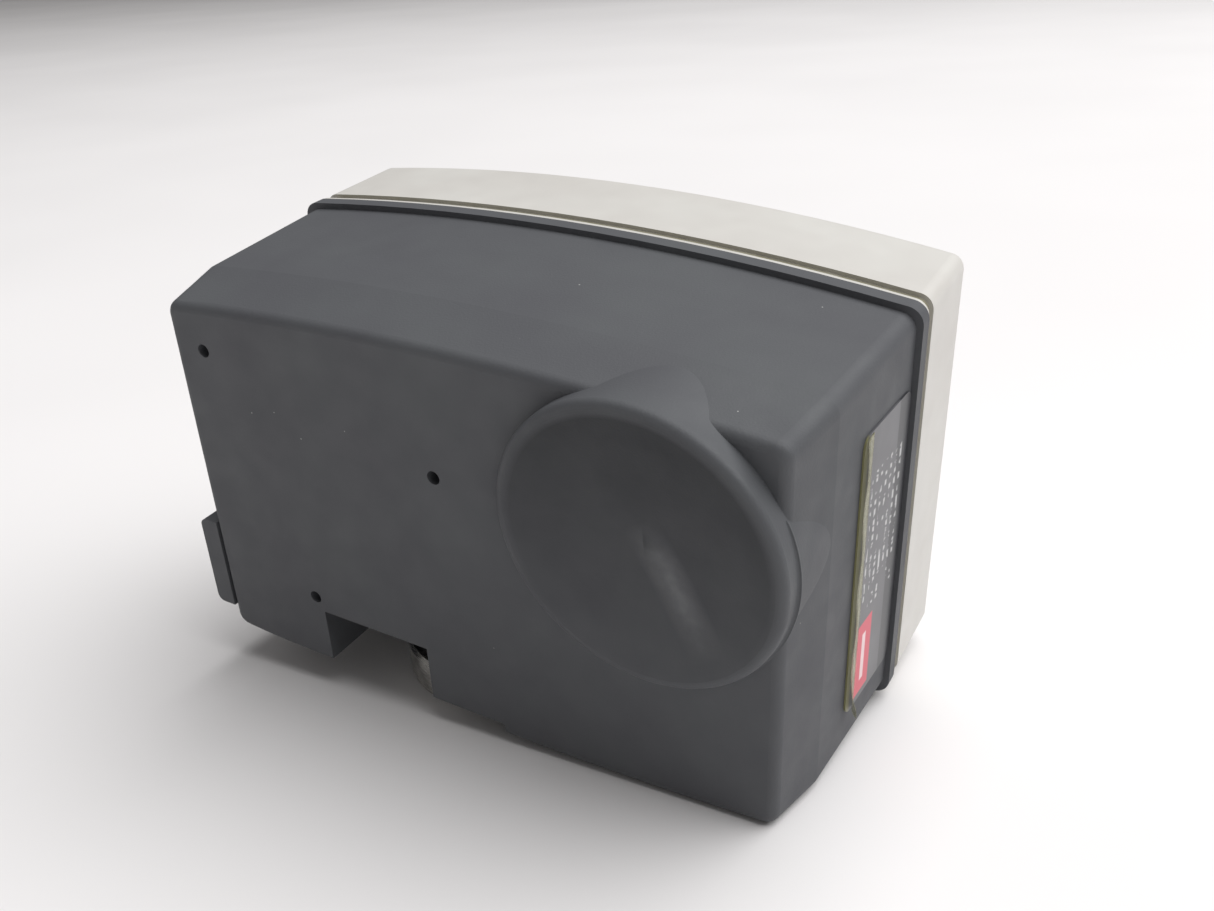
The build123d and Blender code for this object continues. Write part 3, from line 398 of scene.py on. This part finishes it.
def yellowed_film():
    """Clear polyester laminate gone slightly yellow at its free edge: glossy and see-through."""
    material, tree, shader = new_finish(
        "polyester_film_yellowed", "#a8a678", 0.16, IOR=1.58, Alpha=0.42
    )
    haze = between(tree, grain(tree, 5 * MM, 2.0), 0.3, 0.7)
    tree.links.new(mixed(tree, haze, "#8d8c62", "#c0be98"), shader.inputs["Base Color"])
    relief(tree, shader, grain(tree, 6 * MM, 2.0), 0.05 * MM, 0.5)
    return material


def soft_rubber():
    """Moulded black rubber: matt with a faint bloom."""
    material, tree, shader = new_finish("rubber_black_moulded", "#1c1c1e", 0.78, IOR=1.52)
    bloom = between(tree, grain(tree, 3 * MM, 3.0), 0.4, 0.7)
    tree.links.new(mixed(tree, bloom, "#18181a", "#2a2a2b"), shader.inputs["Base Color"])
    relief(tree, shader, grain(tree, 0.3 * MM), 0.02 * MM, 0.6)
    return material


# ---------------------------------------------------------------- finishes of metal and inner parts
def plated(name, light, dark, roughness, line, direction):
    """Plated or turned metal: bright, with fine tool lines in one direction and small clouds."""
    material, tree, shader = new_finish(name, light, roughness, 1.0)
    clouds = between(tree, grain(tree, 4 * MM, 3.0), 0.3, 0.7)
    tree.links.new(mixed(tree, clouds, dark, light), shader.inputs["Base Color"])
    lines = grain(tree, line, 2.0, direction)
    tree.links.new(
        between(tree, lines, 0.3, 0.7, roughness - 0.07, roughness + 0.1), shader.inputs["Roughness"]
    )
    relief(tree, shader, lines, 0.01 * MM, 0.5)
    return material


def moulded(name, light, dark, roughness, grain_size, depth, **sockets):
    """Small moulded plastic part: even colour with slight flow marks and a fine surface."""
    material, tree, shader = new_finish(name, light, roughness, **sockets)
    flow = between(tree, grain(tree, 5 * MM, 2.0), 0.3, 0.7)
    tree.links.new(mixed(tree, flow, dark, light), shader.inputs["Base Color"])
    tree.links.new(
        between(tree, grain(tree, 2 * MM, 2.0), 0.3, 0.7, roughness - 0.05, roughness + 0.07),
        shader.inputs["Roughness"],
    )
    relief(tree, shader, grain(tree, grain_size), depth, 0.6)
    return material


def solder_mask():
    """Green solder mask over glass laminate: glossy, with copper tracks showing as paler lines."""
    material, tree, shader = new_finish("solder_mask_green", "#0f5a34", 0.3, IOR=1.55)
    x = coordinates(tree)[0]
    track = math_of(tree, "FRACT", math_of(tree, "DIVIDE", x, 2.5 * MM))
    fields = between(tree, grain(tree, 9 * MM, 1.0), 0.48, 0.52)
    tracks = product(tree, between(tree, track, 0.4, 0.44), between(tree, track, 0.6, 0.56), fields)
    tree.links.new(mixed(tree, tracks, "#0c4a2b", "#2f8a55"), shader.inputs["Base Color"])
    relief(tree, shader, tracks, 0.03 * MM, 0.6)
    return material


def wound_copper():
    """Enamelled copper winding: dark orange turns 0.6 mm apart."""
    material, tree, shader = new_finish("copper_winding_enamelled", "#8a4218", 0.38, 0.6)
    turn = add(
        tree,
        "ShaderNodeTexWave",
        {"Scale": 1 / (6 * 0.6 * MM), "Distortion": 0.6, "bands_direction": "Y"},
        {"Vector": where(tree)},
    ).outputs["Fac"]
    tree.links.new(mixed(tree, turn, "#5f2a0e", "#b06026"), shader.inputs["Base Color"])
    relief(tree, shader, turn, 0.15 * MM, 0.8)
    return material


# ---------------------------------------------------------------- operators
class ACTUATOR_OT_casing(bpy.types.Operator):
    """Give the two mouldings, the gasket and the cable glands their finishes"""

    bl_idname = "actuator.casing"
    bl_label = "Casing finishes"

    def execute(self, context):
        coat(["rear_housing"], graphite_moulding())
        coat(["front_cover"], pale_moulding())
        coat(["cover_gasket", "cable_grommets"], soft_rubber())
        return {"FINISHED"}


class ACTUATOR_OT_boss_root(bpy.types.Operator):
    """Sweep the small fillet at the root of the motor boss, where it leaves the flat rear face"""

    bl_idname = "actuator.boss_root"
    bl_label = "Boss root fillet"

    def execute(self, context):
        settings = context.scene.actuator_housing
        # The turn runs under the boss, from its one side to the other, over the flat face.
        turn = np.radians(np.linspace(-205.0, 40.0, FILLET_STEPS))[:, None]
        # The fillet fades to nothing at its two ends.
        fade = np.sin(np.linspace(0, np.pi, FILLET_STEPS)[:, None]) ** 0.35
        width = settings.root_width * fade
        # Quarter of a hollow round: distance out and height over the face both run from the root.
        t = np.linspace(0, np.pi / 2, 10)[None, :]
        reach = BOSS_RADIUS + width * (1 - np.cos(t))
        height = REAR_FACE + 0.02 * MM + width * (1 - np.sin(t))
        # Its back lies inside the wall of the boss and the face.
        sunk = np.full_like(width, REAR_FACE - 0.5 * MM)
        inside = np.full_like(width, BOSS_RADIUS - 0.5 * MM)
        reach = np.hstack([reach[:, :1] - 0.3 * MM, reach, BOSS_RADIUS + width, inside])
        height = np.hstack([height[:, :1], height, sunk, sunk])
        x = MOTOR_X + reach * np.cos(turn)
        z = MOTOR_Z + reach * np.sin(turn)
        piece = sheet_mesh("boss_root_fillet", np.stack([x, height, z], axis=-1), close_v=True)
        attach(piece, "casing")
        coat(["boss_root_fillet"], nodes["rear_housing"].material_slots[0].material)
        return {"FINISHED"}


class ACTUATOR_OT_label(bpy.types.Operator):
    """Print the rating label and lay its clear film over the rear edge"""

    bl_idname = "actuator.label"
    bl_label = "Rating label"

    def execute(self, context):
        settings = context.scene.actuator_label
        coat(["rating_label"], printed_foil())
        # Film: a strip over the rear margin. Its height over the foil grows with the square of
        # the distance past the margin, and more near the lower end, where the corner curls.
        u = np.linspace(0, 1, 24)[:, None]
        v = np.linspace(0, 1, 120)[None, :]
        width = 4.6 * MM
        y = label_high[1] - width + 0.3 * MM + u * width
        z = label_low[2] + 0.4 * MM + v * (label_high[2] - label_low[2] - 0.8 * MM)
        y = y + 0 * v
        z = z + 0 * u
        lean = (label_high[1] - y) / (label_high[1] - label_low[1])
        wall = label_low[0] + 0.02 * MM + (1 - lean) * (label_high[0] - 0.4 * MM - label_low[0])
        curl = settings.corner_curl * np.exp(-((v / 0.07) ** 2)) * u**1.5
        wave = 0.18 * MM * np.sin(v * 23.0) * u**2
        x = wall - 0.10 * MM - settings.edge_lift * u**2 - curl * 0.7 - wave
        y = y - curl * 0.3
        piece = sheet_mesh("label_film", np.stack([x, y, z], axis=-1))
        thickness = piece.modifiers.new("thickness", "SOLIDIFY")
        thickness.thickness = 0.12 * MM
        thickness.offset = 0
        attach(piece, "casing")
        coat(["label_film"], yellowed_film())
        return {"FINISHED"}


class ACTUATOR_OT_metals(bpy.types.Operator):
    """Give the nut, the neck, the spindle, the plates and all screws their plated finishes"""

    bl_idname = "actuator.metals"
    bl_label = "Metal finishes"

    def execute(self, context):
        turned = (1, 1, 0.05)
        rolled = (0.06, 1, 1)
        # Nickel over turned brass: bright and slightly warm, with rings left by the tool.
        coat(
            ["mounting_nut", "mounting_neck", "stem_coupling"],
            plated("nickel_turned", "#d6d4cf", "#aeaca8", 0.24, 0.25 * MM, (0.05, 0.05, 1)),
        )
        # Ground and polished stainless steel.
        coat(
            ["drive_spindle", "output_shaft", "motor_shaft", "first_arbor", "override_shaft", "rack_pinion"],
            plated("stainless_ground", "#c9c9cb", "#a4a5a8", 0.22, 0.3 * MM, turned),
        )
        # Zinc plated sheet steel with rolling marks along X.
        coat(
            ["base_plate", "front_gear_plate", "bearing_bracket", "motor_end_plate"],
            plated("zinc_sheet_rolled", "#b9bcc0", "#8f9296", 0.36, 0.5 * MM, rolled),
        )
        coat(
            ["gear_posts", "bracket_posts", "motor_can", "release_spring"],
            plated("zinc_drawn", "#c2c3c6", "#9a9b9e", 0.3, 0.4 * MM, (1, 0.06, 1)),
        )
        # Zinc plated screws, slightly yellow from passivation.
        coat(
            [
                "cover_screws", "neck_screws", "plate_screws", "bracket_screws", "motor_screws",
                "board_screws", "switch_screws", "terminal_screws", "post_nuts",
            ],
            plated("zinc_screw_passivated", "#c8c4b4", "#9d9a8c", 0.32, 0.3 * MM, (1, 1, 1)),
        )
        # Sintered bronze: dull, porous and oily.
        coat(
            ["spindle_bush", "motor_bushes", "motor_pinion"],
            plated("bronze_sintered", "#b48a54", "#7d5c34", 0.46, 0.35 * MM, (1, 1, 1)),
        )
        # Ground ferrite: nearly black with a dull metallic sheen.
        coat(["motor_rotor"], plated("ferrite_ground", "#3a3a3d", "#26262a", 0.5, 0.4 * MM, (1, 1, 1)))
        coat(["motor_coil"], wound_copper())
        return {"FINISHED"}


class ACTUATOR_OT_plastics(bpy.types.Operator):
    """Give the gears, switches, electrical parts and controls their finishes"""

    bl_idname = "actuator.plastics"
    bl_label = "Plastic finishes"

    def execute(self, context):
        # Natural acetal: creamy white, waxy, with a little light passing through.
        coat(
            ["first_gear", "second_gear", "output_gear", "button_guide", "trip_finger"],
            moulded("acetal_natural", "#e6e1d2", "#d6d0bf", 0.4, 0.5 * MM, 0.02 * MM, Subsurface_Weight=0.08),
        )
        # Black glass-filled nylon: satin with a slight sparkle.
        coat(
            ["spindle_guide", "end_switches", "relays"],
            moulded("nylon_black_satin", "#232325", "#1a1a1c", 0.45, 0.35 * MM, 0.02 * MM),
        )
        coat(
            ["upper_switch_plunger", "lower_switch_plunger"],
            moulded("plunger_red", "#a03028", "#842620", 0.4, 0.4 * MM, 0.01 * MM),
        )
        # Dark grey glossy ABS of the hand controls.
        coat(
            ["override_knob", "release_button"],
            moulded("abs_dark_grey", "#3a3c40", "#313337", 0.34, 0.4 * MM, 0.02 * MM, IOR=1.53),
        )
        coat(["terminal_block"], moulded("polyamide_green", "#1f6e42", "#185a35", 0.4, 0.4 * MM, 0.02 * MM))
        coat(["capacitor"], moulded("sleeve_blue", "#23375f", "#1b2b4c", 0.28, 0.8 * MM, 0.01 * MM))
        # Clear acrylic: the light guide and the lens of the light.
        coat(
            ["light_guide", "status_light"],
            moulded(
                "acrylic_clear", "#eef2ee", "#e2e8e2", 0.08, 1.0 * MM, 0.002 * MM, Transmission_Weight=0.85
            ),
        )
        coat(["circuit_board"], solder_mask())
        return {"FINISHED"}


class ACTUATOR_OT_stage(bpy.types.Operator):
    """Lay the floor under the object and set the lights and the camera"""

    bl_idname = "actuator.stage"
    bl_label = "Stage"

    def execute(self, context):
        settings = context.scene.actuator_stage
        scene = context.scene
        lean = np.array([FLOOR_SLOPE_X, FLOOR_SLOPE_Y, 1.0])
        lowest = 1.0
        for piece in nodes.values():
            found = np.empty(len(piece.data.vertices) * 3)
            piece.data.vertices.foreach_get("co", found)
            lowest = min(lowest, float((found.reshape(-1, 3) @ lean).min()))
        u = np.linspace(-FLOOR_REACH, FLOOR_REACH, 29)
        x, y = np.meshgrid(u, u, indexing="ij")
        z = lowest - FLOOR_SLOPE_X * x - FLOOR_SLOPE_Y * y
        floor = sheet_mesh("floor", np.stack([x, y, z], axis=-1)[:, ::-1])
        # Matt painted board: almost white, with faint unevenness.
        material, tree, shader = new_finish("painted_board_matt", settings.floor_color, 0.7, IOR=1.45)
        uneven = between(tree, grain(tree, 0.35, 2.0), 0.35, 0.65)
        tree.links.new(mixed(tree, uneven, "#eceaea", "#f0eeee"), shader.inputs["Base Color"])
        coat(["floor"], material)

        world = bpy.data.worlds.new("soft_room")
        world.use_nodes = True
        world.node_tree.nodes["Background"].inputs["Color"].default_value = color("#f4f2f1")
        world.node_tree.nodes["Background"].inputs["Strength"].default_value = ROOM_STRENGTH
        scene.world = world
        scene.view_settings.view_transform = "Standard"

        centre = Vector(((cad_box[0][0] + cad_box[1][0]) / 2, 0.0, 0.05))
        lamp = bpy.data.lights.new("key", "AREA")
        lamp.shape = "DISK"
        lamp.size = KEY_SIZE
        lamp.energy = settings.key_power
        holder = bpy.data.objects.new("key", lamp)
        scene.collection.objects.link(holder)
        holder.location = KEY_PLACE
        holder.rotation_euler = (Vector(KEY_PLACE) - centre).to_track_quat("Z", "Y").to_euler()

        camera = bpy.data.cameras.new("camera")
        camera.lens = settings.lens
        camera.sensor_width = 36.0
        camera.sensor_fit = "HORIZONTAL"
        camera.clip_start = 0.01
        camera.clip_end = 50
        holder = bpy.data.objects.new("camera", camera)
        scene.collection.objects.link(holder)
        back = Vector(CAMERA_BACK).normalized()
        right = Vector(CAMERA_RIGHT)
        right = (right - right.dot(back) * back).normalized()
        up = back.cross(right)
        turned = Matrix((right, up, back)).transposed().to_4x4()
        turned.translation = Vector(CAMERA_PLACE)
        holder.matrix_world = turned
        scene.camera = holder
        return {"FINISHED"}


class ACTUATOR_PT_panel(bpy.types.Panel):
    """Sizes, colours and steps of the actuator head"""

    bl_idname = "ACTUATOR_PT_panel"
    bl_label = "Actuator head"
    bl_space_type = "VIEW_3D"
    bl_region_type = "UI"
    bl_category = "Actuator"

    def draw(self, context):
        for name, kind in SETTINGS.items():
            group = getattr(context.scene, name)
            box = self.layout.box()
            for field in kind.__annotations__:
                box.prop(group, field)
        for step in STEPS:
            self.layout.operator(step.bl_idname)


SETTINGS = {
    "actuator_housing": HousingSettings,
    "actuator_cover": CoverSettings,
    "actuator_label": LabelSettings,
    "actuator_stage": StageSettings,
}
STEPS = (
    ACTUATOR_OT_casing,
    ACTUATOR_OT_boss_root,
    ACTUATOR_OT_label,
    ACTUATOR_OT_metals,
    ACTUATOR_OT_plastics,
    ACTUATOR_OT_stage,
)


def register():
    for name, kind in SETTINGS.items():
        bpy.utils.register_class(kind)
        setattr(bpy.types.Scene, name, bpy.props.PointerProperty(type=kind))
    for kind in (*STEPS, ACTUATOR_PT_panel):
        bpy.utils.register_class(kind)


def unregister():
    for kind in (ACTUATOR_PT_panel, *STEPS[::-1]):
        bpy.utils.unregister_class(kind)
    for name, kind in SETTINGS.items():
        delattr(bpy.types.Scene, name)
        bpy.utils.unregister_class(kind)


def main():
    """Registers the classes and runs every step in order."""
    register()
    for step in STEPS:
        group, name = step.bl_idname.split(".")
        getattr(getattr(bpy.ops, group), name)()


if __name__ == "__main__":
    main()
